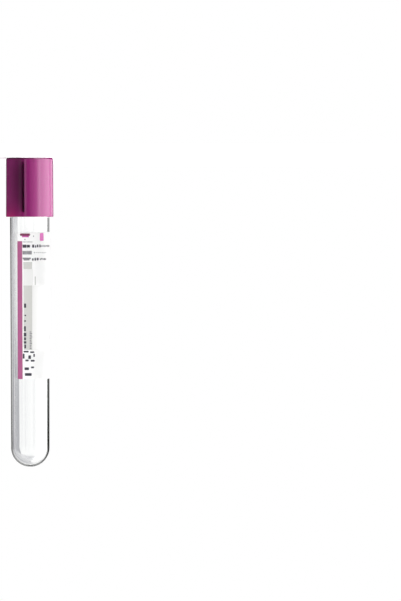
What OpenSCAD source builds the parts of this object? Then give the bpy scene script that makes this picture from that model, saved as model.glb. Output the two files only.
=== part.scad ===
// Evacuated blood collection tube: a clear moulded tube, a rubber stopper, a pull-off
// cap round the stopper and a wrap label with its print. Millimetres.
// The pieces are drawn upright, on an axis that runs up from the round end, with the
// label's front towards -Y. stand_on_cap() then turns them over onto the cap's flat top,
// because the round end can't stand and the tube rolls where it lies.

/* [Tube] */
// Length from the round end to the rim
tube_len = 100; // [80:1:125]
// Outer diameter at the rim
tube_d = 13.2; // [12:0.1:16]
// How much the outer radius narrows from the rim to the round end, as moulding draft
tube_draft = 0.2; // [0:0.01:0.25]
// Wall thickness at the rim and along the straight bore
mouth_wall = 1.1; // [0.8:0.05:1.4]
// Depth of the straight bore below the rim, in which the stopper seals
mouth_bore_len = 12; // [10.5:0.5:20]
// How much the hollow's radius narrows from the straight bore to its round end
core_draft = 0.2; // [0.05:0.01:0.3]
// Thickness of the floor at the middle of the round end
floor_t = 1.4; // [0.9:0.1:2.4]
// Edge break on both corners of the rim
rim_edge = 0.25; // [0.1:0.05:0.35]
// Diameter of the gate mark at the middle of the round end
gate_d = 1.8; // [1:0.1:3]
// Depth of the gate mark's dimple
gate_depth = 0.2; // [0.1:0.05:0.5]

/* [Cap] */
// Height from the skirt's end to the flat top
cap_h = 19.6; // [16:0.1:24]
// How far the flat top stands above the tube's rim
cap_rise = 3; // [2.5:0.1:5]
// Thickness of the flat top
cap_top_t = 1; // [0.7:0.1:1.4]
// Radial gap between the skirt and the tube
skirt_gap = 0.3; // [0.2:0.05:0.5]
// Wall thickness of the skirt at its end
skirt_wall = 1; // [0.8:0.05:1.4]
// How much the cap's outer radius narrows from the skirt's end to the flat top
cap_draft = 0.1; // [0.05:0.05:0.25]
// Radius of the flat top's outer edge
cap_edge_r = 0.6; // [0.3:0.05:0.9]
// Edge break round the skirt's end
skirt_edge = 0.15; // [0.05:0.05:0.3]
// Diameter of the needle port through the flat top
port_d = 7.6; // [6:0.1:9]
// Bevel round the needle port
port_bevel = 0.3; // [0.1:0.05:0.4]
// Width of the lead-in chamfer inside the skirt's mouth
lead_w = 0.35; // [0.2:0.05:0.45]
// Height of the lead-in chamfer inside the skirt's mouth
lead_h = 0.7; // [0.4:0.1:1.2]
// Number of grip ribs inside the skirt
rib_count = 12; // [6:1:18]
// Width of a grip rib
rib_w = 0.9; // [0.5:0.1:1.4]
// Radial gap between a grip rib and the tube
rib_gap = 0.12; // [0.06:0.01:0.18]
// Length of bore left plain at each end of the grip ribs
rib_margin = 2; // [1:0.5:4]
// Radial gap between the snap bead and the tube
bead_gap = 0.15; // [0.08:0.01:0.19]
// Height of the snap bead that holds the stopper in
bead_h = 0.8; // [0.5:0.1:1.2]

/* [Stopper] */
// How far the flange overhangs the tube's rim
flange_lip = 0.35; // [0.25:0.05:0.4]
// Radial gap between the flange and the cap's chamber
chamber_gap = 0.08; // [0.05:0.01:0.15]
// Length of the plug below the rim
plug_len = 9; // [6:0.5:10]
// Radial running clearance of the seal rings in the bore
seal_gap = 0.03; // [0.01:0.01:0.08]
// Number of seal rings round the plug
seal_count = 3; // [1:1:4]
// Height of a seal ring
seal_h = 1.2; // [0.8:0.1:1.4]
// How far the plug's body stands back from its seal rings
plug_relief = 0.2; // [0.1:0.05:0.35]
// Chamfer round the plug's lower end
plug_chamfer = 0.8; // [0.3:0.1:1.2]
// Diameter of the well in the stopper's top
well_d = 5.2; // [3:0.1:7]
// Depth of the well
well_depth = 2.6; // [1:0.1:4]
// Diameter of the hollow in the stopper's underside
hollow_d = 6; // [4:0.1:8]
// Depth of the hollow
hollow_depth = 4; // [2:0.1:5]

/* [Label] */
// Height of the label along the tube
label_h = 48.8; // [40:0.1:50]
// Distance from the skirt's end to the label's top edge
label_gap = 5.1; // [2:0.1:8]
// Length of the label round the tube
label_wrap = 30.5; // [20:0.5:36]
// Angle from the front to the label's starting edge
label_start = -37.5; // [-60:0.5:-30]
// Thickness of the label
label_t = 0.1; // [0.08:0.01:0.15]
// Thickness of the adhesive between label and tube
glue_t = 0.02; // [0.01:0.01:0.04]
// Radius of the label's corners
label_corner_r = 0.8; // [0.4:0.1:1.5]

/* [Print] */
// Thickness of the ink
ink_t = 0.05; // [0.03:0.01:0.06]
// Width of the colour band along the starting edge
band_w = 1.85; // [1:0.05:3]
// Distance from the label's top edge to the top of the band
band_drop = 3; // [2:0.1:6]
// Distance from the band to the printed marks
band_gap = 0.1; // [0.05:0.05:1]
// Distance from the label's top edge to the first printed row
rows_drop = 4.2; // [3:0.1:8]
// Distance from one printed row to the next
row_pitch = 2.2; // [1.6:0.1:3]
// Height of the block that begins a printed row
row_h = 1.2; // [0.6:0.1:1.5]
// Length of that block, round the tube
row_block_w = 2.9; // [2:0.1:4]
// Height of the bars that follow the block
bar_h = 0.8; // [0.4:0.1:1.2]
// Lengths of the bars that follow the block
bar_w = [2.6, 4.4];
// Gap between the marks of a row
mark_gap = 0.5; // [0.3:0.05:1]
// Number of dashes in the column along the band
dash_count = 9; // [4:1:12]
// Length of a dash, along the tube
dash_h = 1; // [0.5:0.1:1.4]
// Distance from one dash to the next
dash_pitch = 1.75; // [1.5:0.05:2.2]
// Width of a dash
dash_w = 1.2; // [0.5:0.1:1.6]
// Distance from the topmost stacked bar to the lowest dash
dash_rise = 0.9; // [0.5:0.1:3]
// Number of stacked bars near the label's lower edge
stack_count = 4; // [2:1:4]
// Height of a stacked bar
stack_h = 1.1; // [0.5:0.1:1.5]
// Distance from one stacked bar to the next
stack_pitch = 2.2; // [1.8:0.1:2.6]
// Length of the lowest stacked bar, round the tube
stack_w = 2.6; // [1.5:0.1:4]
// How much longer each stacked bar is than the one below it
stack_step = 0.6; // [0:0.1:0.8]
// Distance from the label's lower edge to the lowest stacked bar
stack_rise = 1.6; // [1:0.1:3]

/* [Hidden] */
$fn = 96;
past = 1; // how far a cutting shape runs past the face that it cuts
corner_steps = 4;  // straight steps round a label corner
corner_over = 1.04; // its arc is this much wider, so that it ends just outside the label's edges

rim_r = tube_d / 2;
end_r = rim_r - tube_draft;         // the round end's radius
bore_r = rim_r - mouth_wall;
bore_z = tube_len - mouth_bore_len; // lower end of the straight bore
core_r = bore_r - core_draft;       // radius of the hollow's round end
core_z = floor_t + core_r;          // its centre

top_z = tube_len + cap_rise;
skirt_z = top_z - cap_h;
under_z = top_z - cap_top_t;    // underside of the flat top, on which the flange bears
skirt_r = rim_r + skirt_gap + skirt_wall;
corner_z = skirt_z + skirt_edge; // the skirt's widest edge
top_r = skirt_r - cap_draft;
skirt_bore_r = rim_r + skirt_gap;
bead_r = rim_r + bead_gap;
bead_z = tube_len - bead_h;
rib_r = rim_r + rib_gap;
flange_r = rim_r + flange_lip;
chamber_r = flange_r + chamber_gap;
port_r = port_d / 2;

seal_r = bore_r - seal_gap;
plug_r = seal_r - plug_relief;
plug_z = tube_len - plug_len;
seal_pitch = (plug_len - plug_chamfer) / seal_count;

label_top = skirt_z - label_gap;
label_z = label_top - label_h;
ink_lift = glue_t + label_t; // how far the ink lies off the tube's wall
label_mid_r = tube_r(label_z + label_h / 2) + ink_lift;
deg_per_mm = 180 / (PI * label_mid_r); // turn round the axis for each millimetre of label
label_end = label_start + label_wrap * deg_per_mm;
print_start = label_start + (band_w + band_gap) * deg_per_mm;
dash_z = label_z + stack_rise + (stack_count - 1) * stack_pitch + stack_h + dash_rise;

// Outer radius of the drafted tube at height z
function tube_r(z) = end_r + (rim_r - end_r) * (z - end_r) / (tube_len - end_r);

// Lower or upper half of a circle, to the right of the axis
module half_disc(r, above = false) {
    intersection() {
        circle(r);
        translate([0, above ? 0 : -2 * r]) square([2 * r, 2 * r]);
    }
}

// Stands an upright piece on its head, with the middle of the cap's flat top at the origin
module stand_on_cap() {
    translate([0, 0, top_z])
        rotate([0, 180, 0])
            children();
}

// ---- tube ----

module tube_outline() {
    translate([0, end_r]) half_disc(end_r);
    polygon([
        [0, end_r],
        [end_r, end_r],
        [tube_r(tube_len - rim_edge), tube_len - rim_edge],
        [rim_r - rim_edge, tube_len],
        [0, tube_len],
    ]);
}

module hollow_outline() {
    translate([0, core_z]) half_disc(core_r);
    polygon([
        [0, core_z],
        [core_r, core_z],
        [bore_r, bore_z],
        [bore_r, tube_len - rim_edge],
        [bore_r + rim_edge, tube_len],
        [bore_r + rim_edge, tube_len + past],
        [0, tube_len + past],
    ]);
}

// A shallow dimple in the middle of the round end, where the moulding was fed
module gate_mark() {
    dimple_r = (gate_d * gate_d / 4 + gate_depth * gate_depth) / (2 * gate_depth);
    translate([0, 0, gate_depth - dimple_r]) sphere(dimple_r);
}

module tube() color([0.86, 0.89, 0.92, 0.35]) stand_on_cap() {
    difference() {
        rotate_extrude() tube_outline();
        rotate_extrude() hollow_outline();
        gate_mark();
    }
}

// ---- cap ----

module cap_outline() {
    edge_z = top_z - cap_edge_r;
    polygon([
        [0, skirt_z],
        [skirt_r - skirt_edge, skirt_z],
        [skirt_r, corner_z],
        [top_r, edge_z],
        [0, edge_z],
    ]);
    translate([0, edge_z]) square([top_r - cap_edge_r, cap_edge_r]);
    translate([top_r - cap_edge_r, edge_z]) half_disc(cap_edge_r, above = true);
}

// The skirt's bore, the snap bead's throat and the stopper's chamber, in one revolve
module cap_hollow_outline() {
    bead_slope = skirt_bore_r - bead_r;
    polygon([
        [0, skirt_z - past],
        [skirt_bore_r + lead_w, skirt_z - past],
        [skirt_bore_r + lead_w, skirt_z],
        [skirt_bore_r, skirt_z + lead_h],
        [skirt_bore_r, bead_z - bead_slope],
        [bead_r, bead_z],
        [bead_r, tube_len],
        [chamber_r, tube_len],
        [chamber_r, under_z],
        [0, under_z],
    ]);
}

// Axial ribs that steady the skirt on the tube, tapered at both ends
module grip_ribs() {
    foot = skirt_bore_r + skirt_wall / 4; // sunk into the wall
    taper = foot - rib_r;
    low = skirt_z + lead_h + rib_margin;
    high = bead_z - rib_margin;
    for (i = [0:rib_count - 1])
        rotate([90, 0, i * 360 / rib_count])
            translate([0, 0, -rib_w / 2])
                linear_extrude(rib_w)
                    polygon([[foot, low], [rib_r, low + taper], [rib_r, high - taper], [foot, high]]);
}

module needle_port() {
    translate([0, 0, under_z - past]) cylinder(h = cap_top_t + 2 * past, r = port_r);
    translate([0, 0, top_z - port_bevel])
        cylinder(h = port_bevel + past, r1 = port_r, r2 = port_r + port_bevel + past);
}

module cap() color([0.57, 0.2, 0.47]) stand_on_cap() {
    difference() {
        rotate_extrude() cap_outline();
        rotate_extrude() cap_hollow_outline();
        needle_port();
    }
    grip_ribs();
}

// ---- stopper ----

module seal_ring_outline() {
    root = plug_r - plug_relief;
    polygon([
        [root, 0],
        [plug_r, 0],
        [seal_r, plug_relief],
        [seal_r, seal_h - plug_relief],
        [plug_r, seal_h],
        [root, seal_h],
    ]);
}

module stopper_outline() {
    polygon([
        [0, plug_z],
        [plug_r - plug_chamfer, plug_z],
        [plug_r, plug_z + plug_chamfer],
        [plug_r, tube_len],
        [flange_r, tube_len],
        [flange_r, under_z],
        [0, under_z],
    ]);
    for (i = [0:seal_count - 1])
        translate([0, plug_z + plug_chamfer + i * seal_pitch + (seal_pitch - seal_h) / 2])
            seal_ring_outline();
}

module stopper() color([0.45, 0.46, 0.48]) stand_on_cap() {
    difference() {
        rotate_extrude() stopper_outline();
        translate([0, 0, under_z - well_depth]) cylinder(h = well_depth + past, d = well_d);
        translate([0, 0, plug_z - past]) cylinder(h = hollow_depth + past, d = hollow_d);
    }
}

// ---- label and print ----

// A field of a skin on the tube. It starts at an angle from the front, wraps to the right,
// runs from low to high along the tube, and lies lift off the tube's wall.
module skin_field(start, wrap, low, high, lift, thick) {
    rotate([0, 0, start - 90])
        rotate_extrude(angle = wrap)
            polygon([
                [tube_r(low) + lift, low],
                [tube_r(low) + lift + thick, low],
                [tube_r(high) + lift + thick, high],
                [tube_r(high) + lift, high],
            ]);
}

// What a label corner loses to its rounding, with the corner at the origin
module corner_waste() {
    mid = label_corner_r;
    arc_r = label_corner_r * corner_over;
    polygon(concat(
        [[-past, mid], [-past, -past], [mid, -past]],
        [for (i = [0:corner_steps]) let (a = 90 * i / corner_steps) [mid - arc_r * sin(a), mid - arc_r * cos(a)]]
    ));
}

// Rounds one corner of the label, outwards from the axis
module corner_cut(angle, z, at_end, at_top) {
    rotate([0, 0, angle - 90])
        translate([end_r / 2, 0, z])
            rotate([90, 0, 90])
                linear_extrude(rim_r)
                    mirror([at_end ? 1 : 0, 0])
                        mirror([0, at_top ? 1 : 0])
                            corner_waste();
}

// Distances are along the label: right from its first mark, and up the tube from z
module mark(right, wide, low, tall) {
    skin_field(print_start + right * deg_per_mm, wide * deg_per_mm, low, low + tall, ink_lift, ink_t);
}

module label() color([0.96, 0.96, 0.95]) stand_on_cap()
    difference() {
        skin_field(label_start, label_wrap * deg_per_mm, label_z, label_top, glue_t, label_t);
        for (at_end = [false, true], at_top = [false, true])
            corner_cut(at_end ? label_end : label_start, at_top ? label_top : label_z, at_end, at_top);
    }

module label_band() color([0.69, 0.38, 0.53]) stand_on_cap()
    difference() {
        skin_field(label_start, band_w * deg_per_mm, label_z, label_top - band_drop, ink_lift, ink_t);
        corner_cut(label_start, label_z, at_end = false, at_top = false);
    }

// A row is a block and then its bars, each a gap further to the right
module printed_row(low) {
    bar_low = low + (row_h - bar_h) / 2;
    mark(0, row_block_w, low, row_h);
    mark(row_block_w + mark_gap, bar_w[0], bar_low, bar_h);
    mark(row_block_w + bar_w[0] + 2 * mark_gap, bar_w[1], bar_low, bar_h);
}

module label_print() color([0.2, 0.2, 0.22]) stand_on_cap() {
    for (row = [0:2])
        printed_row(label_top - rows_drop - row_h - row * row_pitch);
    for (i = [0:dash_count - 1])
        mark(0, dash_w, dash_z + i * dash_pitch, dash_h);
    for (i = [0:stack_count - 1])
        mark(0, stack_w + i * stack_step, label_z + stack_rise + i * stack_pitch, stack_h);
}

tube();
cap();
stopper();
label();
label_band();
label_print();
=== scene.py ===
"""Dresses a blood collection tube: clear tube, pull-off cap, rubber stopper and printed wrap label.

The tube stands on its head, with the middle of the cap's flat top at the origin and +Z running up
to its round end. The label's front faces -Y, and its print reads with the cap at the top, so that
the reader's right is -X. Lengths are in metres.
"""

import logging
import math
import random
from collections.abc import Callable
from dataclasses import dataclass
from enum import Enum

import bmesh
import bpy
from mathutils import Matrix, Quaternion, Vector


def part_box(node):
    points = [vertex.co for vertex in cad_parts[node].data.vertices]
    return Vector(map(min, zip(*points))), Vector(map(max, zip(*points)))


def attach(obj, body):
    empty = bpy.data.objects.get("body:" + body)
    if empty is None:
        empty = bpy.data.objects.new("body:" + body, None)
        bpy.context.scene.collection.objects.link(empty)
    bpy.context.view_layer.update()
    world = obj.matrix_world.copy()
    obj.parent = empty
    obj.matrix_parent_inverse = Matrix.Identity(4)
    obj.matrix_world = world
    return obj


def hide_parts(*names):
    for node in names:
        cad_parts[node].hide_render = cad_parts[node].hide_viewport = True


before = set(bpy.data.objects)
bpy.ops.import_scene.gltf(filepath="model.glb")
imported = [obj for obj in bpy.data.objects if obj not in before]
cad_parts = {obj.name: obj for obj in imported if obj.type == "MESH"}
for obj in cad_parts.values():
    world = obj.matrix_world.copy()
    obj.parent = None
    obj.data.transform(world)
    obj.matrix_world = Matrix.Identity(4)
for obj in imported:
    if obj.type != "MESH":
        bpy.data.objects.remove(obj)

MM = 0.001
SEGMENTS = 144  # round a turned piece
WELD = 1e-7  # vertices this close are one
LONG_RUN = 0.8 * MM  # an outline's run longer than this is held flat
HOLD = 0.06 * MM  # how near its ends
SMOOTH_BELOW = math.radians(28)  # edges that turn by less are shaded smooth
SLACK = 0.01 * MM  # tolerance on a distance
NOISE_LOW, NOISE_HIGH = 0.3, 0.7  # what most of a noise pattern lies between
BOUNCES = 24  # how often light may bounce or pass a clear face

Point = tuple[float, float]
Point3 = tuple[float, float, float]
Colour = tuple[float, float, float]
Box = tuple[float, float, float, float]
Stops = tuple[Point, ...]
Piece = bpy.types.Object
Material = bpy.types.Material
Socket = bpy.types.NodeSocket

log = logging.getLogger("collection_tube")


class Body(Enum):
    """The two bodies of the frame that the pieces ride on."""

    VESSEL = "vessel"
    CLOSURE = "closure"


class Slot(Enum):
    """The record's material slots."""

    WALL = "clear_wall"
    CAP = "purple_cap"
    RUBBER = "grey_rubber"
    PAPER = "label_paper"
    BAND = "band_ink"
    PRINT = "print_ink"


# ---- modelling ----


def arc(centre: Point, radius: float, start: float, end: float, steps: int) -> list[Point]:
    """Gives points along an arc of an outline.

    Args:
        centre: distance from the axis and height of the arc's centre.
        radius: the arc's radius.
        start: angle of its first point in degrees, 0 away from the axis and 90 up.
        end: angle of its last point.
        steps: how many straight steps it takes.

    Returns:
        The points from start to end, both included.
    """
    angles = [math.radians(start + (end - start) * i / steps) for i in range(steps + 1)]
    return [(centre[0] + radius * math.cos(a), centre[1] + radius * math.sin(a)) for a in angles]


def pick(piece: Piece, test: Callable[[bmesh.types.BMFace], bool]) -> None:
    """Selects the faces of a piece in edit mode that pass a test, and no others.

    Args:
        piece: the piece that is being edited.
        test: says of a face whether it is wanted.
    """
    bpy.ops.mesh.select_mode(type="FACE")
    bpy.ops.mesh.select_all(action="DESELECT")
    shape = bmesh.from_edit_mesh(piece.data)
    for face in [f for f in shape.faces if test(f)]:
        face.select_set(True)
    bmesh.update_edit_mesh(piece.data)


def apply_modifier(piece: Piece, kind: str, **settings: object) -> None:
    """Adds a modifier to a piece, sets it and applies it."""
    modifier = piece.modifiers.new(kind.lower(), kind)
    for name, value in settings.items():
        setattr(modifier, name, value)
    bpy.ops.object.modifier_apply(modifier=modifier.name)


def square(name: str, size: float = MM, high: float = 0.0, editing: bool = True) -> Piece:
    """Starts a piece as a level square.

    Args:
        name: the piece's name.
        size: its width.
        high: its height on Z.
        editing: whether it is left in edit mode.

    Returns:
        The piece, with nothing else selected.
    """
    bpy.ops.object.select_all(action="DESELECT")
    bpy.ops.mesh.primitive_plane_add(size=size, location=(0, 0, high), enter_editmode=editing)
    piece = bpy.context.object
    piece.name = piece.data.name = name
    return piece


def strand(name: str, points: list[Point3]) -> Piece:
    """Starts a piece as a bare line of edges through points.

    Args:
        name: the piece's name.
        points: the line's points in order.

    Returns:
        The piece, in edit mode with all of it selected.
    """
    piece = square(name)
    bpy.ops.mesh.select_mode(type="VERT")
    bpy.ops.mesh.select_all(action="SELECT")
    bpy.ops.mesh.merge(type="CENTER")
    bpy.ops.transform.translate(value=points[0])
    for here, there in zip(points, points[1:]):
        step = tuple(Vector(there) - Vector(here))
        bpy.ops.mesh.extrude_vertices_move(TRANSFORM_OT_translate={"value": step})
    bpy.ops.mesh.select_all(action="SELECT")
    return piece


def held(outline: list[Point]) -> list[Point]:
    """Adds a point near each end of an outline's long straight runs, which keeps their shading flat."""
    points = outline[:1]
    for here, there in zip(outline, outline[1:]):
        run = Vector(there) - Vector(here)
        if run.length > LONG_RUN:
            step = run.normalized() * HOLD
            points += [tuple(Vector(here) + step), tuple(Vector(there) - step)]
        points.append(there)
    return points


def turned(name: str, outline: list[Point]) -> Piece:
    """Turns an outline round Z, as on a lathe. The piece is left in object mode.

    Args:
        name: the piece's name.
        outline: distances from the axis and heights, which start and end on the axis or meet.

    Returns:
        The turned piece, closed and with its faces outwards.
    """
    piece = strand(name, [(away, 0.0, high) for away, high in held(outline)])
    bpy.ops.mesh.remove_doubles(threshold=WELD)
    bpy.ops.mesh.spin(steps=SEGMENTS, angle=math.tau, center=(0, 0, 0), axis=(0, 0, 1))
    bpy.ops.mesh.select_all(action="SELECT")
    bpy.ops.mesh.remove_doubles(threshold=WELD)
    bpy.ops.mesh.normals_make_consistent(inside=False)
    bpy.ops.object.mode_set(mode="OBJECT")
    return piece


def rest(piece: Piece, finish: Material, body: Body, slot: Slot, *nodes: str) -> Piece:
    """Shades a finished piece, dresses it and puts it on its body.

    Args:
        piece: the piece, in place.
        finish: its material.
        body: the body that it moves with.
        slot: the record's slot for its finish; not used.
        nodes: the frame's nodes that it stands for.

    Returns:
        The piece.
    """
    bpy.ops.object.select_all(action="DESELECT")
    piece.select_set(True)
    bpy.context.view_layer.objects.active = piece
    bpy.ops.object.shade_smooth_by_angle(angle=SMOOTH_BELOW)
    piece.data.materials.clear()
    piece.data.materials.append(finish)
    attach(piece, body.value)
    if nodes:
        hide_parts(*nodes)
    log.info("%s: %d faces on %s", piece.name, len(piece.data.polygons), body.value)
    return piece


# ---- finishes ----


@dataclass(frozen=True)
class Grain:
    """A noise pattern that is fixed to the piece.

    Attributes:
        scale: features per metre.
        detail: octaves of finer features.
        along: how many times as fine it is along the tube as across it.
        rise: how far it raises the surface.
    """

    scale: float
    detail: float = 2.0
    along: float = 1.0
    rise: float = 0.0


class Nodes:
    """The nodes of one material or world."""

    def __init__(self, owner: Material | bpy.types.World) -> None:
        """Turns the owner's nodes on."""
        owner.use_nodes = True
        self.tree = owner.node_tree

    def node(self, kind: str, **inputs: object) -> bpy.types.Node:
        """Adds a node and sets or links its inputs.

        Args:
            kind: the node's Blender type, less the ShaderNode that it starts with.
            inputs: values or output sockets by input name, with _ for a space.

        Returns:
            The node.
        """
        made = self.tree.nodes.new(f"ShaderNode{kind}")
        self.fill(made, inputs)
        return made

    def fill(self, made: bpy.types.Node, inputs: dict[str, object]) -> None:
        """Sets or links a node's inputs by name, with _ for a space."""
        for name, value in inputs.items():
            self.feed(made.inputs[name.replace("_", " ")], value)

    def feed(self, socket: Socket, value: object) -> None:
        """Links a socket to an output, or sets its value."""
        if isinstance(value, Socket):
            self.tree.links.new(value, socket)
        else:
            socket.default_value = value


class NodeBench(Nodes):
    """The nodes of one material, round its Principled shader."""

    def __init__(self, name: str) -> None:
        """Starts a material with that name."""
        self.material = bpy.data.materials.new(name)
        super().__init__(self.material)
        self.shader = self.tree.nodes["Principled BSDF"]
        self.place = self.node("TexCoord").outputs["Object"]

    def noise(self, grain: Grain) -> Socket:
        """Adds a grain's pattern and gives its height from 0 to 1."""
        mapped = self.node("Mapping", Vector=self.place, Scale=(1, 1, grain.along)).outputs[0]
        made = self.node("TexNoise", Vector=mapped, Scale=grain.scale, Detail=grain.detail)
        return made.outputs["Fac"]

    def blend(self, share: Socket, first: Colour, second: Colour) -> Socket:
        """Blends two colours by a share from 0 to 1."""
        made = self.node("Mix")
        made.data_type = "RGBA"
        self.feed(made.inputs["Factor"], share)
        self.feed(made.inputs[6], (*first, 1.0))
        self.feed(made.inputs[7], (*second, 1.0))
        return made.outputs[2]

    def rough(self, grain: Grain, low: float, high: float) -> None:
        """Gives the shader a roughness that runs from low to high with a grain's pattern."""
        made = self.node("MapRange", Value=self.noise(grain), From_Min=NOISE_LOW, From_Max=NOISE_HIGH)
        self.fill(made, {"To_Min": low, "To_Max": high})
        self.set(Roughness=made.outputs["Result"])

    def bump(self, *grains: Grain) -> None:
        """Raises the surface by each grain's pattern, and gives the shader the normal."""
        normal = None
        for grain in grains:
            made = self.node("Bump", Height=self.noise(grain), Distance=grain.rise, Strength=1.0)
            if normal is not None:
                self.feed(made.inputs["Normal"], normal)
            normal = made.outputs["Normal"]
        self.set(Normal=normal)

    def set(self, **inputs: object) -> None:
        """Sets or links inputs of the shader, by name with _ for a space."""
        self.fill(self.shader, inputs)


@dataclass(frozen=True)
class ClearPlastic:
    """Clear moulded polyester, with faint flow ripples and handling scuffs."""

    tint: Colour = (0.98, 0.985, 0.985)
    bend: float = 1.57
    rough: Point = (0.015, 0.05)
    ripple: Grain = Grain(scale=140, detail=1.0, along=0.25, rise=0.003 * MM)
    scuff: Grain = Grain(scale=2600, detail=4.0, along=0.4)

    def material(self) -> Material:
        """Makes the material."""
        bench = NodeBench("clear_polyester")
        bench.set(Base_Color=(*self.tint, 1.0), IOR=self.bend, Transmission_Weight=1.0)
        bench.rough(self.scuff, *self.rough)
        bench.bump(self.ripple)
        return bench.material


@dataclass(frozen=True)
class CapPlastic:
    """Glossy coloured polyethylene, with drawn streaks along it and a fine moulded skin."""

    light: Colour = (0.38, 0.028, 0.215)
    dark: Colour = (0.34, 0.022, 0.19)
    bend: float = 1.52
    rough: Point = (0.1, 0.14)
    cloud: Grain = Grain(scale=160, detail=3.0, along=0.3)
    streak: Grain = Grain(scale=520, detail=2.0, along=0.02, rise=0.008 * MM)
    skin: Grain = Grain(scale=5200, detail=3.0, rise=0.0015 * MM)

    def material(self) -> Material:
        """Makes the material."""
        bench = NodeBench("glossy_cap")
        colour = bench.blend(bench.noise(self.cloud), self.light, self.dark)
        bench.set(Base_Color=colour, IOR=self.bend)
        bench.rough(self.skin, *self.rough)
        bench.bump(self.streak, self.skin)
        return bench.material


@dataclass(frozen=True)
class Rubber:
    """Matte butyl rubber, speckled by its filler."""

    light: Colour = (0.2, 0.205, 0.22)
    dark: Colour = (0.145, 0.15, 0.16)
    bend: float = 1.45
    rough: Point = (0.62, 0.78)
    speck: Grain = Grain(scale=3800, detail=4.0, rise=0.006 * MM)
    skin: Grain = Grain(scale=1500, detail=3.0, rise=0.02 * MM)

    def material(self) -> Material:
        """Makes the material."""
        bench = NodeBench("butyl_rubber")
        colour = bench.blend(bench.noise(self.speck), self.light, self.dark)
        bench.set(Base_Color=colour, IOR=self.bend)
        bench.rough(self.skin, *self.rough)
        bench.bump(self.skin, self.speck)
        return bench.material


@dataclass(frozen=True)
class Paper:
    """Coated label paper, with faint fibres under the coating."""

    light: Colour = (0.9, 0.9, 0.895)
    dark: Colour = (0.85, 0.85, 0.845)
    bend: float = 1.46
    seep: float = 0.15 * MM
    rough: Point = (0.42, 0.54)
    fibre: Grain = Grain(scale=1900, detail=5.0, along=0.35, rise=0.004 * MM)
    cloud: Grain = Grain(scale=260, detail=2.0)

    def material(self) -> Material:
        """Makes the material."""
        bench = NodeBench("label_paper")
        colour = bench.blend(bench.noise(self.cloud), self.light, self.dark)
        bench.set(Base_Color=colour, IOR=self.bend)
        bench.rough(self.fibre, *self.rough)
        bench.set(Subsurface_Weight=1.0, Subsurface_Radius=(1, 1, 1), Subsurface_Scale=self.seep)
        bench.bump(self.fibre)
        return bench.material


@dataclass(frozen=True)
class Ink:
    """Printing ink that lies a little unevenly on the paper. With a fade, it is a painted shade instead,
    lighter towards the lit side.

    Attributes:
        name: the material's name.
        full: its colour where it lies thickest.
        thin: its colour where it lies thinnest.
        fade: the places on X between which it turns from full to thin, as a painted shade that lightens
            towards the lit side, or none for a mottle.
    """

    name: str
    full: Colour
    thin: Colour
    fade: Point | None = None
    bend: float = 1.5
    rough: Point = (0.34, 0.46)
    mottle: Grain = Grain(scale=1400, detail=5.0, rise=0.002 * MM)

    def material(self) -> Material:
        """Makes the material."""
        bench = NodeBench(self.name)
        if self.fade:
            # a fade paints shade: the colour lightens along X towards the lit side
            across = bench.node("SeparateXYZ", Vector=bench.place).outputs["X"]
            begin, end = self.fade
            share = bench.node("MapRange", Value=across, From_Min=begin, From_Max=end).outputs["Result"]
        else:
            share = bench.noise(self.mottle)
        bench.set(Base_Color=bench.blend(share, self.full, self.thin), IOR=self.bend)
        bench.rough(self.mottle, *self.rough)
        bench.bump(self.mottle)
        return bench.material


# ---- the vessel: tube, label and print ----


@dataclass
class ClearTube:
    """The moulded tube, with its rim down at the cap and its round end up."""

    mouth_wall: float = 1.1 * MM
    mouth_bore_len: float = 12 * MM
    draft: float = 0.2 * MM
    core_draft: float = 0.2 * MM
    floor: float = 1.4 * MM
    rim_round: float = 0.25 * MM
    gate_radius: float = 0.9 * MM
    gate_depth: float = 0.2 * MM
    dome_steps: int = 28
    edge_steps: int = 6

    def __post_init__(self) -> None:
        """Reads the tube's reach from the frame."""
        low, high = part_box("tube")
        self.rim, self.tip, self.radius = low.z, high.z, high.x

    def outline(self) -> list[Point]:
        """Gives the outline, from the dimple outside the round end to the hollow's own end."""
        end = self.radius - self.draft
        dimple = (self.gate_radius**2 + self.gate_depth**2) / (2 * self.gate_depth)
        dimple_half = math.degrees(math.asin(self.gate_radius / dimple))
        dome_start = 90 - math.degrees(math.asin(self.gate_radius / end))
        lip = self.tip - end + end * math.sin(math.radians(dome_start))
        gate = lip + dimple * math.cos(math.radians(dimple_half))
        bore = self.radius - self.mouth_wall
        core = bore - self.core_draft
        edge = self.rim_round
        return [
            *arc((0, gate), dimple, -90, -90 + dimple_half, self.edge_steps),
            *arc((0, self.tip - end), end, dome_start, 0, self.dome_steps),
            *arc((self.radius - edge, self.rim + edge), edge, 0, -90, self.edge_steps),
            *arc((bore + edge, self.rim + edge), edge, -90, -180, self.edge_steps),
            (bore, self.rim + self.mouth_bore_len),
            *arc((0, self.tip - self.floor - core), core, 0, 90, self.dome_steps),
        ]

    def build(self) -> Piece:
        """Turns the tube and dresses it."""
        tube = turned("clear_tube", self.outline())
        return rest(tube, ClearPlastic().material(), Body.VESSEL, Slot.WALL, "tube")


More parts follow.
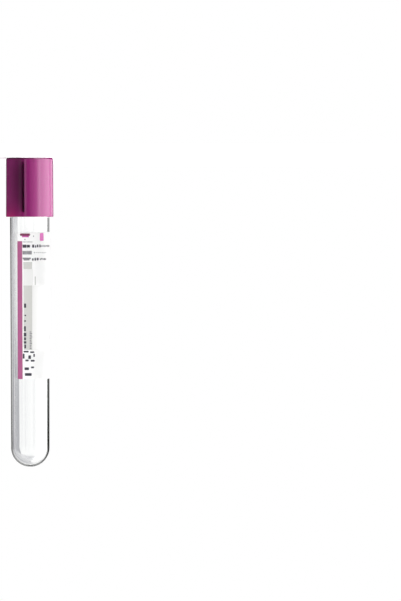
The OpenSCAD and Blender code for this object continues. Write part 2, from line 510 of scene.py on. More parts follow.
@dataclass
class FlatPrint:
    """Flat pieces that are cut out in the label's plane and then rolled round the tube.

    A place in the plane is the distance from the front to the reader's right, and the height.

    Attributes:
        name: the piece's name.
        tube: what it is rolled round.
        lift: its distance from the tube's wall.
        thick: its thickness.
    """

    name: str
    tube: Piece
    lift: float
    thick: float
    column: float = 0.12 * MM
    corner_steps: int = 6
    roll_radius: float = 6.65 * MM

    def __post_init__(self) -> None:
        """Starts an empty piece in edit mode."""
        self.piece = square(self.name)
        bpy.ops.mesh.delete(type="VERT")

    def field(self, right: float, low: float, wide: float, tall: float, corner: float = 0.0) -> None:
        """Adds a rectangle, with its corners rounded if corner is given."""
        centre = (-(right + wide / 2), 0, low + tall / 2)
        bpy.ops.mesh.primitive_plane_add(size=1, location=centre, rotation=(math.pi / 2, 0, 0))
        bpy.ops.transform.resize(value=(wide, 1, tall), center_override=centre)
        if corner:
            bpy.ops.mesh.bevel(offset=corner, segments=self.corner_steps, affect="VERTICES")
        bpy.ops.mesh.select_all(action="DESELECT")

    def roll(self) -> Piece:
        """Cuts the piece into columns, rolls it onto the tube's wall and gives it thickness."""
        across = [v.co.x for v in bmesh.from_edit_mesh(self.piece.data).verts]
        low, high = min(across), max(across)
        for cut in range(math.ceil(low / self.column), math.floor(high / self.column) + 1):
            bpy.ops.mesh.select_all(action="SELECT")
            bpy.ops.mesh.bisect(plane_co=(cut * self.column, 0, 0), plane_no=(1, 0, 0))
        bpy.ops.object.mode_set(mode="OBJECT")
        turn = (high - low) / self.roll_radius
        apply_modifier(self.piece, "SIMPLE_DEFORM", deform_method="BEND", deform_axis="Z", angle=turn)
        bpy.ops.object.mode_set(mode="EDIT")
        bpy.ops.mesh.select_all(action="SELECT")
        bpy.ops.transform.translate(value=(0, -self.roll_radius, 0))
        bpy.ops.object.mode_set(mode="OBJECT")
        wrap = {"target": self.tube, "wrap_method": "NEAREST_SURFACEPOINT", "wrap_mode": "ABOVE_SURFACE"}
        apply_modifier(self.piece, "SHRINKWRAP", offset=self.lift, **wrap)
        apply_modifier(self.piece, "SOLIDIFY", thickness=self.thick, offset=1.0)
        return self.piece


@dataclass
class WrapLabel:
    """The paper label with its colour band, panels and marks.

    Places on it are measured from the band's inner edge to the reader's right, and from the
    label's top edge downwards as read.
    """

    tube: Piece
    start_angle: float = -38.2
    wrap: float = 30.5 * MM
    glue: float = 0.02 * MM
    paper: float = 0.1 * MM
    ink: float = 0.04 * MM
    thin_ink: float = 0.015 * MM
    corner: float = 0.8 * MM
    band_wide: float = 1.85 * MM
    gutter: float = 0.1 * MM
    stroke_wide: Point = (0.6, 1.0)  # shares of the widest stroke
    stroke_tall: Point = (0.7, 1.0)  # shares of the tallest
    stroke_gap: Point = (0.3, 0.5)  # shares of the widest
    stroke_corner: float = 0.2  # share of a stroke's lesser side
    dashes: tuple[Box, ...] = (
        (0.5, 23.7, 0.7, 1.4), (0.65, 27.4, 0.5, 0.5), (0.55, 29.2, 0.55, 0.6), (0.5, 31.2, 0.6, 1.7),
        (0.35, 33.4, 0.9, 1.2), (0.5, 34.9, 0.6, 1.0), (0.4, 36.2, 0.85, 0.8), (0.55, 37.3, 0.6, 1.3),
    )
    bars: tuple[Box, ...] = (
        (0.3, 39.4, 1.7, 0.55), (2.5, 39.6, 1.4, 0.5), (0.0, 40.3, 0.6, 1.7), (3.6, 40.4, 0.5, 1.0),
        (1.9, 40.9, 0.9, 1.2), (0.9, 42.3, 1.1, 0.6), (2.7, 42.4, 1.3, 0.6), (0.6, 44.9, 1.5, 0.9),
        (2.8, 44.6, 1.0, 0.6), (0.7, 46.8, 2.3, 0.9),
    )
    seed: int = 11

    def __post_init__(self) -> None:
        """Reads the label's and the band's reach from the frame. The label's top is its lower end here."""
        low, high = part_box("label")
        self.head, self.foot = low.z, high.z
        self.band_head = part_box("label_band")[0].z
        self.start = math.radians(self.start_angle) * FlatPrint.roll_radius
        self.first = self.start + self.band_wide + self.gutter
        self.draw = random.Random(self.seed)

    def flat(self, name: str, thick: float) -> FlatPrint:
        """Starts a printed piece that lies on the paper."""
        return FlatPrint(name, self.tube, self.glue + self.paper, thick)

    def mark(self, flat: FlatPrint, *boxes: Box, corner: float = 0.0) -> None:
        """Adds fields to a printed piece, in millimetres.

        Args:
            flat: the piece that they belong to.
            boxes: each field's place from the band and from the label's top, its width and height.
            corner: the radius of their corners.
        """
        for right, drop, wide, tall in boxes:
            flat.field(self.first + right * MM, self.head + drop * MM, wide * MM, tall * MM, corner * MM)

    def strokes(self, flat: FlatPrint, place: Point, reach: float, tall: float, wide: float) -> None:
        """Fills a stretch of a row with short plain strokes of uneven width and height.

        Args:
            flat: the piece that they belong to.
            place: where the stretch starts and where its top lies.
            reach: the stretch's length.
            tall: the height of the tallest stroke.
            wide: the width of the widest stroke.
        """
        right, drop = place
        at = right
        while at < right + reach:
            across = self.draw.uniform(*self.stroke_wide) * wide
            high = self.draw.uniform(*self.stroke_tall) * tall
            sink = self.draw.uniform(0, tall - high)
            box = (at, drop + sink, across, high)
            self.mark(flat, box, corner=self.stroke_corner * min(across, high))
            at += across + self.draw.uniform(*self.stroke_gap) * wide

    def inked(self, flat: FlatPrint, ink: Ink, slot: Slot, *nodes: str) -> Piece:
        """Rolls a printed piece onto the paper and dresses it in its ink."""
        return rest(flat.roll(), ink.material(), Body.VESSEL, slot, *nodes)

    def build_paper(self) -> Piece:
        """Cuts the label and rolls it on."""
        sheet = FlatPrint("label_sheet", self.tube, self.glue, self.paper)
        sheet.field(self.start, self.head, self.wrap, self.foot - self.head, self.corner)
        return rest(sheet.roll(), Paper().material(), Body.VESSEL, Slot.PAPER, "label")

    def build_band(self) -> Piece:
        """Prints the colour band along the starting edge."""
        band = self.flat("colour_band", self.ink)
        band.field(self.start, self.band_head, self.band_wide, self.foot - self.band_head)
        ink = Ink("band_purple", full=(0.34, 0.072, 0.19), thin=(0.36, 0.084, 0.21))
        return self.inked(band, ink, Slot.BAND, "label_band")

    def build_marks(self) -> Piece:
        """Prints the dark rows, the broken column of dashes and the cluster of short bars."""
        marks = self.flat("print_marks", self.ink)
        self.mark(marks, (0.05, 4.15, 1.35, 1.0), corner=0.1)
        self.mark(marks, (1.5, 4.2, 1.05, 0.9), corner=0.2)
        self.strokes(marks, (3.25, 4.1), 2.7, 1.1, 0.7)
        self.strokes(marks, (3.25, 8.5), 2.2, 0.95, 0.7)
        self.strokes(marks, (6.0, 8.6), 2.7, 0.7, 0.5)
        self.mark(marks, *self.dashes, corner=0.12)
        self.mark(marks, *self.bars, corner=0.2)
        ink = Ink("dark_ink", full=(0.02, 0.018, 0.028), thin=(0.05, 0.046, 0.065))
        return self.inked(marks, ink, Slot.PRINT, "label_print")

    def build_greys(self) -> Piece:
        """Prints the thin rule, the grey blocks, the row ends, the dots and the second column."""
        greys = self.flat("print_greys", self.ink)
        self.mark(greys, (0.05, 3.15, 3.4, 0.18))
        self.mark(greys, (0.7, 2.2, 0.35, 0.45), (3.55, 1.15, 0.35, 0.4), corner=0.1)
        self.mark(greys, *((0.05 + place * 0.35, 6.2, 0.27, 1.2) for place in range(9)))
        self.mark(greys, (0.05, 8.45, 2.75, 0.5))
        self.mark(greys, (0.35, 8.9, 2.05, 0.5), corner=0.22)
        self.strokes(greys, (6.1, 4.3), 5.2, 0.65, 0.42)
        for place in range(7):
            self.mark(greys, (3.9 + place * 0.74, 6.6, 0.24, self.draw.uniform(0.25, 0.45)))
        for place in range(11):
            self.mark(greys, (2.35, 33.0 + place * 0.55, self.draw.uniform(0.5, 0.9), 0.3))
        ink = Ink("grey_ink", full=(0.16, 0.155, 0.17), thin=(0.24, 0.235, 0.25))
        return self.inked(greys, ink, Slot.PRINT)

    def build_panels(self) -> Piece:
        """Prints the pale panels beside the band."""
        panels = self.flat("print_panels", self.thin_ink)
        self.mark(panels, (0.3, 9.9, 2.9, 2.35), (0.3, 17.7, 2.9, 21.4))
        self.mark(panels, (4.1, 14.7, 0.4, 2.9), corner=0.15)
        return self.inked(panels, Ink("pale_ink", (0.51, 0.51, 0.49), (0.55, 0.55, 0.53)), Slot.PRINT)

    def build_painted_shade(self) -> Piece:
        """Lays a painted shade on the paper: a paler grey that fades out to the right, towards the lit
        side.
        """
        shade_piece = self.flat("painted_shade_grey", self.thin_ink / 2)
        self.mark(shade_piece, (0.3, 12.3, 3.2, 5.4), (3.2, 17.7, 5.6, 21.4))
        # painted shade: greyest at the left, thinning to the paper's white towards the lit right
        fade = (0.5 * MM, -5.2 * MM)
        return self.inked(shade_piece, Ink("painted_shade_fade", (0.71, 0.71, 0.7), (0.87, 0.87, 0.865), fade), Slot.PRINT)

    def build_header(self) -> Piece:
        """Prints a plain bar above the rows."""
        header = self.flat("print_header", self.ink)
        self.mark(header, (-0.9, 0.42, 3.5, 0.8), corner=0.35)
        ink = Ink("header_purple", full=(0.13, 0.015, 0.055), thin=(0.2, 0.03, 0.09))
        return self.inked(header, ink, Slot.BAND)

    def build_tab(self) -> Piece:
        """Prints a plain upright tab beside the bar, and a paler strip under the bar."""
        tab = self.flat("print_tab", self.ink)
        self.mark(tab, (6.0, 0.3, 1.5, 2.6), corner=0.3)
        self.mark(tab, (-0.2, 1.2, 2.4, 0.5), corner=0.1)
        ink = Ink("tab_pink", full=(0.46, 0.07, 0.3), thin=(0.52, 0.1, 0.36))
        return self.inked(tab, ink, Slot.BAND)

    def build(self) -> tuple[Piece, ...]:
        """Builds the label, then its painted shade and its print from the palest to the darkest, and gives
        the pieces.
        """
        steps = (
            self.build_paper, self.build_painted_shade, self.build_panels, self.build_band,
            self.build_header, self.build_tab, self.build_greys, self.build_marks,
        )
        return tuple(step() for step in steps)


# ---- the closure: cap and stopper ----


@dataclass
class Cap:
    """The pull-off cap: flat top with its port, drafted skirt, snap bead and grip ribs inside."""

    top_thick: float = 1.0 * MM
    draft: float = 0.1 * MM
    top_round: float = 0.6 * MM
    skirt_round: float = 0.25 * MM
    top_steps: int = 10
    skirt_steps: int = 5
    port: float = 3.8 * MM
    port_bevel: float = 0.3 * MM
    bore: float = 6.9 * MM
    bead: float = 6.75 * MM
    chamber: float = 7.03 * MM
    bead_high: float = 3.8 * MM
    chamber_high: float = 3.0 * MM
    lead_wide: float = 0.35 * MM
    lead_high: float = 0.7 * MM
    rib_count: int = 12
    rib_angle: float = 7.5
    rib_rise: float = 0.18 * MM
    rib_taper: float = 0.97
    rib_margin: float = 2.0 * MM

    def __post_init__(self) -> None:
        """Reads the cap's reach from the frame."""
        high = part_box("cap")[1]
        self.tall, self.radius = high.z, high.x

    def rib_reach(self) -> tuple[float, float]:
        """Gives the heights between which the grip ribs run."""
        return self.bead_high + self.rib_margin, self.tall - self.lead_high - self.rib_margin

    def outline(self) -> list[Point]:
        """Gives the outline, round from the port's bevel and back to it."""
        slope = self.bore - self.bead
        edge, top = self.skirt_round, self.top_round
        low, high = self.rib_reach()
        lead = self.bore + self.lead_wide
        return [
            (self.port + self.port_bevel, 0.0),
            *arc((self.radius - self.draft - top, top), top, -90, 0, self.top_steps),
            *arc((self.radius - edge, self.tall - edge), edge, 0, 90, self.skirt_steps),
            (lead, self.tall),
            (self.bore, self.tall - self.lead_high),
            (self.bore, high),
            (self.bore, low),
            (self.bore, self.bead_high + slope),
            (self.bead, self.bead_high),
            (self.bead, self.chamber_high),
            (self.chamber, self.chamber_high),
            (self.chamber, self.top_thick),
            (self.port, self.top_thick),
            (self.port, self.port_bevel),
            (self.port + self.port_bevel, 0.0),
        ]

    def raise_ribs(self, cap: Piece) -> None:
        """Draws the grip ribs out of the skirt's bore and tapers their ends."""
        low, high = self.rib_reach()
        middle = (low + high) / 2
        pitch = 360 / self.rib_count
        bpy.ops.object.mode_set(mode="EDIT")

        def on_rib(face: bmesh.types.BMFace) -> bool:
            """Says whether a face of the bore lies under a rib."""
            place = face.calc_center_median()
            turn = math.degrees(math.atan2(place.y, place.x)) % pitch
            inside = math.hypot(place.x, place.y) < self.bore + SLACK
            return inside and low < place.z < high and turn < self.rib_angle

        pick(cap, on_rib)
        bpy.ops.mesh.extrude_region_shrink_fatten(TRANSFORM_OT_shrink_fatten={"value": self.rib_rise})
        bpy.ops.transform.resize(value=(1, 1, self.rib_taper), center_override=(0, 0, middle))
        bpy.ops.object.mode_set(mode="OBJECT")

    def build(self) -> Piece:
        """Turns the cap, raises its ribs and dresses it."""
        cap = turned("purple_cap_shell", self.outline())
        self.raise_ribs(cap)
        return rest(cap, CapPlastic().material(), Body.CLOSURE, Slot.CAP, "cap")


@dataclass
class Stopper:
    """The rubber stopper: flange, plug with seal rings, needle well and hollow."""

    plug: float = 5.27 * MM
    seal: float = 5.47 * MM
    seal_count: int = 3
    seal_tall: float = 1.2 * MM
    relief: float = 0.2 * MM
    chamfer: float = 0.8 * MM
    flange_thick: float = 2.0 * MM
    flange_round: float = 0.25 * MM
    well: float = 2.6 * MM
    well_deep: float = 2.6 * MM
    hollow: float = 3.0 * MM
    hollow_deep: float = 4.0 * MM
    edge: float = 0.15 * MM
    lip_steps: int = 5
    edge_steps: int = 4
    well_cone: float = 0.4

    def __post_init__(self) -> None:
        """Reads the stopper's reach from the frame."""
        low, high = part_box("stopper")
        self.head, self.end, self.flange = low.z, high.z, high.x

    def seal_ring(self, start: float) -> list[Point]:
        """Gives a seal ring's outline, which swells out of the plug from that height."""
        return [
            (self.plug, start),
            (self.seal, start + self.relief),
            (self.seal, start + self.seal_tall - self.relief),
            (self.plug, start + self.seal_tall),
        ]

    def outline(self) -> list[Point]:
        """Gives the outline, from the middle of the well to the middle of the hollow."""
        rim = self.head + self.flange_thick
        floor = self.end - self.hollow_deep
        pitch = (self.end - self.chamfer - rim) / self.seal_count
        edge, lip, steps = self.edge, self.flange_round, self.edge_steps
        rings = [
            point
            for place in range(self.seal_count)
            for point in self.seal_ring(rim + place * pitch + (pitch - self.seal_tall) / 2)
        ]
        return [
            (0.0, self.head + self.well_deep + edge),
            (self.well * self.well_cone, self.head + self.well_deep),
            *arc((self.well - edge, self.head + self.well_deep - edge), edge, 90, 0, steps),
            *arc((self.well + edge, self.head + edge), edge, 180, 270, steps),
            *arc((self.flange - lip, self.head + lip), lip, -90, 0, self.lip_steps),
            *arc((self.flange - edge, rim - edge), edge, 0, 90, steps),
            (self.plug, rim),
            *rings,
            (self.plug, self.end - self.chamfer),
            (self.plug - self.chamfer, self.end),
            *arc((self.hollow + edge, self.end - edge), edge, 90, 180, steps),
            *arc((self.hollow - 2 * edge, floor + 2 * edge), 2 * edge, 0, -90, steps),
            (0.0, floor),
        ]

    def build(self) -> Piece:
        """Turns the stopper and dresses it."""
        stopper = turned("rubber_stopper", self.outline())
        return rest(stopper, Rubber().material(), Body.CLOSURE, Slot.RUBBER, "stopper")


# ---- the studio ----


class Sight(Enum):
    """The kinds of ray that show the surroundings, by the Light Path output that marks them."""

    CAMERA = "Is Camera Ray"
    GLOSS = "Is Glossy Ray"
    CLEAR = "Is Transmission Ray"


class StudioNodes(Nodes):
    """Nodes that the floor, the world and the screens share."""

    def __init__(self, owner: Material | bpy.types.World) -> None:
        """Starts on an empty tree."""
        super().__init__(owner)
        self.tree.nodes.clear()
        self.path = self.node("LightPath")

    def math(self, operation: str, first: object, second: object) -> Socket:
        """Adds a Math node with that operation on two values or outputs."""
        made = self.node("Math")
        made.operation = operation
        self.feed(made.inputs[0], first)
        self.feed(made.inputs[1], second)
        return made.outputs[0]

    def ramp(self, value: Socket, stops: Stops) -> Socket:
        """Gives the level at a value that stops of value and level give."""
        made = self.node("FloatCurve")
        curve = made.mapping.curves[0]
        begin, end = stops[0][0], stops[-1][0]
        high = max(level for _, level in stops)
        for place, (at, level) in enumerate(stops):  # a new curve has two points
            spot = ((at - begin) / (end - begin), level / high)
            point = curve.points[place] if place < 2 else curve.points.new(*spot)
            point.location = spot
            point.handle_type = "VECTOR"
        made.mapping.update()
        self.feed(made.inputs["Value"], self.span(value, begin, end))
        return self.math("MULTIPLY", made.outputs[0], high)

    def span(self, value: Socket, begin: float, end: float) -> Socket:
        """Gives the share from 0 to 1 of the way that a value has gone from begin to end."""
        made = self.node("MapRange", Value=value, From_Min=begin, From_Max=end)
        return made.outputs["Result"]

    def mix(self, share: object, first: object, second: object) -> Socket:
        """Gives a level between two others."""
        return self.node("Mix", Factor=share, A=first, B=second).outputs["Result"]

    def blend(self, share: Socket, first: bpy.types.Node, second: bpy.types.Node) -> None:
        """Ends a material with a blend of two shaders by a share from 0 to 1."""
        made = self.node("MixShader")
        for socket, value in zip(made.inputs, (share, first.outputs[0], second.outputs[0])):
            self.feed(socket, value)
        self.node("OutputMaterial", Surface=made.outputs[0])

    def seen(self) -> Socket:
        """Gives 1 for any ray that shows the surroundings."""
        total = self.path.outputs[Sight.CAMERA.value]
        for sight in (Sight.GLOSS, Sight.CLEAR):
            total = self.math("MAXIMUM", total, self.path.outputs[sight.value])
        return total


@dataclass
class Floor:
    """A plain floor that shows white and keeps the object's shadow."""

    half: float = 3.0
    drop: float = 0.02 * MM
    matte: float = 0.4
    shown: float = 1.7
    near: float = 0.10
    far: float = 0.30

    def build(self) -> None:
        """Lays the floor, which glows white by itself a little way out from the object."""
        floor = square("floor", 2 * self.half, -self.drop, editing=False)
        material = bpy.data.materials.new("floor_white")
        nodes = StudioNodes(material)
        seen = nodes.seen()
        matte = nodes.node("BsdfDiffuse", Color=nodes.mix(seen, self.matte, self.shown))
        away = nodes.node("VectorMath", Vector=nodes.node("TexCoord").outputs["Object"])
        away.operation = "LENGTH"
        spread = nodes.span(away.outputs["Value"], self.near, self.far)
        nodes.blend(nodes.math("MULTIPLY", spread, seen), matte, nodes.node("Emission"))
        floor.data.materials.append(material)
        floor.visible_glossy = False


@dataclass
class Surroundings:
    """The studio's walls as the world: white to look at, with grey screens in gloss and clear wall.

    Stops pair an angle with a level, where 1 is white. Angles are in degrees: for gloss and for
    ambient light to the reader's right from the camera's side, for clear wall to the reader's left
    from straight behind. Clear wall shows clear_low in rays that run level, and clear_label,
    clear_high and clear_end in turn as they rise.

    Attributes:
        sides: grey bands in clear wall, each by the angles where it begins, is full, starts to
            fade and ends. They draw the wall's edges in views from the sides and from behind.
        side_level: how bright those bands are.
        low_to_label: the rises, as Z of the ray's direction, between which clear_low gives way to
            clear_label. The next two are the same for the next pairs.
        cool: how far the greys in clear wall lean to blue, as a power of red and green.
    """

    gloss: Stops = (
        (-125, 0.06), (-92, 0.18), (-61, 0.12), (-47, 0.4), (-41, 0.15), (-37, 0.0), (-28, 0.0),
        (-24, 1.1), (-18, 1.1), (-15, 0.15), (-3, 0.02), (4, 0.4), (20, 0.75), (34, 1.3),
        (42, 3.1), (50, 4.7), (60, 3.7), (85, 4.6), (112, 4.1), (122, 0.1), (140, 0.02),
    )
    clear_low: Stops = (
        (9, 1.12), (9.5, 0.7), (14, 0.61), (23, 0.55), (35, 0.54), (50, 0.54), (55, 1.07),
    )
    clear_label: Stops = (
        (-10, 1.09), (7.6, 1.05), (7.9, 1.0), (14, 0.98), (23, 0.88), (35, 0.64), (50, 0.56), (55, 1.07),
    )
    clear_high: Stops = (
        (-10, 1.09), (0, 1.05), (7.9, 1.05), (8.2, 0.34), (10, 0.43),
        (14, 0.47), (23, 0.44), (35, 0.46), (50, 0.44), (55, 1.07),
    )
    clear_end: Stops = (
        (-13, 1.07), (-8, 1.0), (-3, 0.88), (2, 0.8), (10, 0.73), (30, 0.66), (55, 0.66), (62, 1.07),
    )
    sides: tuple[Box, ...] = (
        (-165, -158, -144, -137), (-130, -124, -112, -105), (-75, -69, -60, -56),
        (63, 66, 72, 76), (105, 112, 124, 130), (137, 144, 158, 165),
    )
    side_level: float = 0.35
    ambient: Stops = (
        (-180, 1.0), (-160, 0.5), (-145, 0.06), (-30, 0.05), (0, 0.4), (160, 0.5), (180, 1.0),
    )
    low_to_label: Point = (0.0015, 0.0045)
    label_to_high: Point = (0.021, 0.039)
    high_to_end: Point = (0.22, 0.24)
    cool: float = 0.09

    def build(self) -> None:
        """Paints the world."""
        world = bpy.data.worlds.new("studio")
        bpy.context.scene.world = world
        nodes = StudioNodes(world)
        apart = nodes.node("SeparateXYZ", Vector=nodes.node("TexCoord").outputs["Generated"])
        right = nodes.math("MULTIPLY", apart.outputs["X"], -1.0)
        front = nodes.math("MULTIPLY", apart.outputs["Y"], -1.0)
        bearing = nodes.math("MULTIPLY", nodes.math("ARCTAN2", right, front), math.degrees(1))
        behind = nodes.math("ARCTAN2", apart.outputs["X"], apart.outputs["Y"])
        behind = nodes.math("MULTIPLY", behind, math.degrees(1))
        clear = nodes.ramp(behind, self.clear_low)
        stages = (
            (self.low_to_label, self.clear_label),
            (self.label_to_high, self.clear_high),
            (self.high_to_end, self.clear_end),
        )
        for (begin, full), stops in stages:
            height = nodes.span(apart.outputs["Z"], begin, full)
            clear = nodes.mix(height, clear, nodes.ramp(behind, stops))
        levels = (1, self.side_level, self.side_level, 1)
        sides = tuple(stop for band in self.sides for stop in zip(band, levels))
        clear = nodes.math("MULTIPLY", clear, nodes.ramp(behind, sides))
        level = nodes.ramp(bearing, self.ambient)
        level = nodes.mix(nodes.path.outputs[Sight.GLOSS.value], level, nodes.ramp(bearing, self.gloss))
        level = nodes.mix(nodes.path.outputs[Sight.CLEAR.value], level, clear)
        level = nodes.mix(nodes.path.outputs[Sight.CAMERA.value], level, 1.0)
        cool = nodes.math("MULTIPLY", nodes.path.outputs[Sight.CLEAR.value], self.cool)
        cooled = nodes.math("POWER", level, nodes.math("ADD", cool, 1.0))
        colour = nodes.node("CombineColor", Red=cooled, Green=cooled, Blue=level).outputs[0]
        back = nodes.node("Background", Color=colour, Strength=1.0)
        nodes.node("OutputWorld", Surface=back.outputs[0])


@dataclass(frozen=True)
class Softbox:
    """A soft rectangular lamp.

    Attributes:
        name: the lamp's name.
        bearing: degrees to the reader's right from the camera's side.
        rise: degrees above level.
        away: its distance.
        size: its width and height.
        radiance: how bright its face is, where 1 is white.
        shiny: whether it shows in gloss and through the clear wall.
        only: the pieces that it lights, or none for all.
        aim: the place that it faces, by default the middle of the object.
        tint: its colour.
    """

    name: str
    bearing: float
    rise: float
    away: float
    size: Point
    radiance: float
    shiny: bool = False
    only: tuple[Piece, ...] = ()
    aim: Point3 = (0, 0, 0.05)
    tint: Colour = (1, 1, 1)

    def build(self) -> None:
        """Hangs the lamp."""
        lamp = bpy.data.lights.new(self.name, "AREA")
        lamp.shape, lamp.color = "RECTANGLE", self.tint
        lamp.size, lamp.size_y = self.size
        lamp.energy = self.radiance * math.pi * self.size[0] * self.size[1]
        holder = bpy.data.objects.new(self.name, lamp)
        bpy.context.scene.collection.objects.link(holder)
        bearing, rise = math.radians(self.bearing), math.radians(self.rise)
        level = math.cos(rise)
        sight = Vector((-math.sin(bearing) * level, -math.cos(bearing) * level, math.sin(rise)))
        holder.location = Vector(self.aim) + sight * self.away
        holder.rotation_mode = "QUATERNION"
        holder.rotation_quaternion = sight.to_track_quat("Z", "Y")
        holder.visible_glossy = holder.visible_transmission = self.shiny
        if self.only:
            lit = bpy.data.collections.new(self.name)
            for piece in self.only:
                lit.objects.link(piece)
            holder.light_linking.receiver_collection = lit


@dataclass
class CapFlag:
    """A thin black card that stands on edge against the cap's side, out of sight of the camera."""

    bearing: float = -15.0
    gap: float = 0.04 * MM
    reach: float = 9.0 * MM
    thick: float = 0.72 * MM
    margin: float = 1.6 * MM
    black: Colour = (0.005, 0.005, 0.005)

    def build(self) -> None:
        """Cuts the card and stands it there."""
        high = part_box("cap")[1]
        inner, outer = high.x + self.gap, high.x + self.gap + self.reach
        bpy.ops.object.select_all(action="DESELECT")
        bpy.ops.mesh.primitive_cube_add(size=1, location=(0, -(inner + outer) / 2, high.z / 2))
        card = bpy.context.object
        card.name = "cap_flag"
        card.scale = (self.thick, outer - inner, high.z - 2 * self.margin)
        bpy.ops.object.transform_apply(location=True, rotation=False, scale=True)
        card.rotation_euler.z = -math.radians(self.bearing)
        bpy.ops.object.transform_apply(location=False, rotation=True, scale=False)
        bench = NodeBench("black_card")
        bench.set(Base_Color=(*self.black, 1))
        card.data.materials.append(bench.material)
        card.visible_camera = card.visible_transmission = card.visible_glossy = False


@dataclass(frozen=True)
class Screen:
    """One straight section of the edge screen.

    Attributes:
        inner: its near end, as millimetres out from the wall's outline and back from the axis.
        outer: its far end.
        right: stops of height in millimetres and level, at the reader's right.
        left: the same at the reader's left.
    """

    inner: Point
    outer: Point
    right: Stops
    left: Stops


@dataclass
class EdgeScreens:
    """Screens that follow the tube's outline from close behind, dark as a bright-field outline needs.

    Only light that has passed through the clear wall meets them, and only from the front: they draw
    the wall's edge, and aren't seen in any other way. Stops pair a height in millimetres with a
    level.

    Attributes:
        draft: how much less the tube's radius is at its round end than at its rim.
        gap: how far past the cap's edge they begin.
        reach: how far from the middle a side's own level is full.
        steps: how many straight steps they take round the end.
    """

    draft: float = 0.2 * MM
    gap: float = 0.3 * MM
    reach: float = 6 * MM
    steps: int = 60
    line_right: Stops = ((0, 0.5), (24, 0.5), (27, 0.1), (74, 0.1), (92, 0.0), (99, 0.0), (103, 0.16))
    line_left: Stops = ((0, 0.13), (24, 0.13), (27, 0.28), (74, 0.36), (92, 0.2), (98, 0.25), (103, 0.3))
    fore_right: Stops = ((0, 0.5), (24, 0.5), (27, 0.1), (74, 0.1), (92, 0.0), (98, 0.02), (103, 0.5))
    fore_left: Stops = ((0, 0.13), (24, 0.13), (27, 0.28), (74, 0.36), (92, 0.2), (98, 0.4), (103, 0.6))
    wide_right: Stops = ((0, 0.5), (24, 0.5), (27, 0.1), (74, 0.1), (92, 0.01), (96, 0.02), (100.5, 1.0))
    wide_left: Stops = ((0, 0.58), (24, 0.58), (27, 0.74), (60, 0.76), (90, 0.56), (96, 0.3), (101, 0.9))

    def __post_init__(self) -> None:
        """Reads the tube's reach from the frame."""
        low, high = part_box("tube")
        self.rim, self.tip, self.radius = low.z, high.z, high.x
        self.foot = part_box("cap")[1].z + self.gap

    def sections(self) -> tuple[Screen, ...]:
        """Gives the screens from the innermost rays' to the outermost's."""
        return (
            Screen((0.2, 0.1), (0.9, 0.1), self.wide_right, self.wide_left),
            Screen((0.02, 0.1), (0.2, 0.1), self.line_right, self.line_left),
            Screen((-0.07, 1.0), (1.93, 4.46), self.fore_right, self.fore_left),
            Screen((-1.29, 3.93), (2.03, 27.0), self.line_right, self.line_left),
        )

    def material(self, name: str, screen: Screen) -> Material:
        """Makes a one-sided glow whose level depends on the side and the height."""
        glow = bpy.data.materials.new(name)
        nodes = StudioNodes(glow)
        apart = nodes.node("SeparateXYZ", Vector=nodes.node("TexCoord").outputs["Object"])
        height = nodes.math("MULTIPLY", apart.outputs["Z"], 1 / MM)
        across = nodes.span(apart.outputs["X"], -self.reach, self.reach)
        level = nodes.mix(across, nodes.ramp(height, screen.right), nodes.ramp(height, screen.left))
        behind = nodes.node("NewGeometry").outputs["Backfacing"]
        nodes.blend(behind, nodes.node("Emission", Strength=level), nodes.node("BsdfTransparent"))
        return glow

    def build(self) -> None:
        """Runs each section up the reader's right, round the end and down the left."""
        centre = self.tip - (self.radius - self.draft)
        shrink = self.draft * (centre - self.foot) / (centre - self.rim)
        foot_radius = self.radius - self.draft + shrink
        for place, section in enumerate(self.sections()):
            ends = (section.inner, section.outer)
            line = [(-foot_radius - out * MM, back * MM, self.foot) for out, back in ends]
            screen = strand(f"edge_screen_{place}", line)
            up = {"value": (shrink, 0, centre - self.foot)}
            bpy.ops.mesh.extrude_edges_move(TRANSFORM_OT_translate=up)
            bpy.ops.mesh.spin(steps=self.steps, angle=math.pi, center=(0, 0, centre), axis=(0, -1, 0))
            down = {"value": (shrink, 0, self.foot - centre)}
            bpy.ops.mesh.extrude_edges_move(TRANSFORM_OT_translate=down)
            bpy.ops.mesh.select_all(action="SELECT")
            bpy.ops.mesh.normals_make_consistent(inside=False)
            shape = bmesh.from_edit_mesh(screen.data)
            if sum(face.normal.y * face.calc_area() for face in shape.faces) > 0:
                bpy.ops.mesh.flip_normals()
            bpy.ops.object.mode_set(mode="OBJECT")
            screen.data.materials.append(self.material(screen.name, section))
            screen.visible_camera = screen.visible_diffuse = screen.visible_glossy = False
            screen.visible_shadow = False
            log.info("%s: %d faces", screen.name, len(screen.data.polygons))


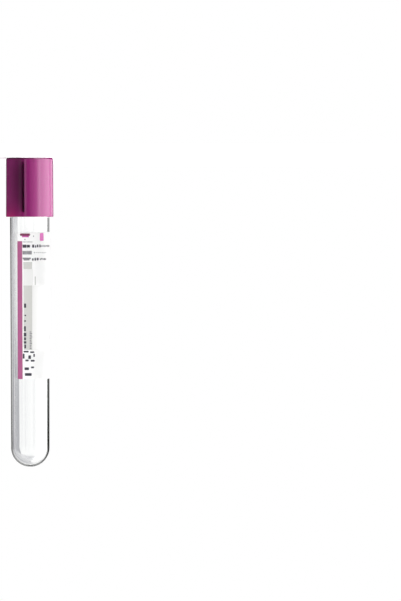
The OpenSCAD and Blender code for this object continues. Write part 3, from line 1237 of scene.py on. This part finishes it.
@dataclass
class Studio:
    """The floor, the surroundings, the lamps, the card and the screens, no part of the object."""

    vessel: tuple[Piece, ...]
    closure: tuple[Piece, ...]

    def build(self) -> None:
        """Sets them all up."""
        Floor().build()
        Surroundings().build()
        CapFlag().build()
        EdgeScreens().build()
        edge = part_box("cap")[1].z
        lamps = (
            Softbox("key", 92, 4, 0.5, (0.8, 0.4), 3.0),
            Softbox("front", 12, 50, 0.6, (0.5, 0.5), 2.05),
            Softbox("rim", -118, 50, 0.6, (0.4, 0.4), 1.1, only=self.vessel),
            Softbox("label_fill", -44, 16, 0.6, (0.5, 0.5), 5.2, only=self.vessel),
            Softbox("label_limb", 122, 4, 0.5, (0.5, 0.4), 3.2, only=self.vessel),
            Softbox("cap_key", 70, 4, 0.5, (0.8, 0.4), 2.7, only=self.closure),
            Softbox("cap_left", -126, 2, 0.5, (0.3, 0.3), 6.4, only=self.closure),
            Softbox("cap_limb", 135, 2, 0.5, (0.26, 0.3), 2.0, shiny=True, only=self.closure),
            Softbox(
                "cap_glow", -58, 30, 2.5 * MM, (9 * MM, 1.5 * MM), 2.0, only=self.closure,
                aim=(6.7 * MM, -4.19 * MM, edge - 0.3 * MM), tint=(1, 0.12, 0.25),
            ),
            Softbox(
                "cap_lift", -42, 5, 2.0 * MM, (9 * MM, 1.2 * MM), 0.45, only=self.closure,
                aim=(5.3 * MM, -5.9 * MM, 0.8 * MM),
            ),
        )
        for lamp in lamps:
            lamp.build()
        cycles = bpy.context.scene.cycles
        cycles.max_bounces = cycles.transmission_bounces = BOUNCES


@dataclass
class Viewpoint:
    """A long lens, level with the cap and turned over, so that the cap is at the picture's top."""

    distance: float = 1.5
    high: float = 20 * MM
    frame_tall: float = 200.7 * MM
    middle: Point3 = (-56.92 * MM, 0, 47.65 * MM)
    lean: float = -0.11
    sensor: float = 36.0

    def build(self) -> None:
        """Places the camera and makes it the scene's."""
        data = bpy.data.cameras.new("long_lens")
        camera = bpy.data.objects.new("long_lens", data)
        bpy.context.scene.collection.objects.link(camera)
        camera.location = (0, -self.distance, self.high)
        sight = Vector(self.middle) - camera.location
        data.sensor_width = self.sensor
        data.lens = self.sensor * sight.length / self.frame_tall
        camera.rotation_mode = "QUATERNION"
        over = Quaternion((0, 0, 1), math.radians(180 + self.lean))
        camera.rotation_quaternion = sight.to_track_quat("-Z", "Y") @ over
        bpy.context.scene.camera = camera


def main() -> None:
    """Builds the tube with its label, the closure and the studio, in that order."""
    logging.basicConfig(level=logging.INFO, format="%(name)s: %(message)s")
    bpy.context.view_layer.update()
    tube = ClearTube().build()
    label = WrapLabel(tube).build()
    closure = (Stopper().build(), Cap().build())
    Studio((tube, *label), closure).build()
    Viewpoint().build()
    bpy.context.scene.view_settings.view_transform = "Standard"


if __name__ == "__main__":
    main()
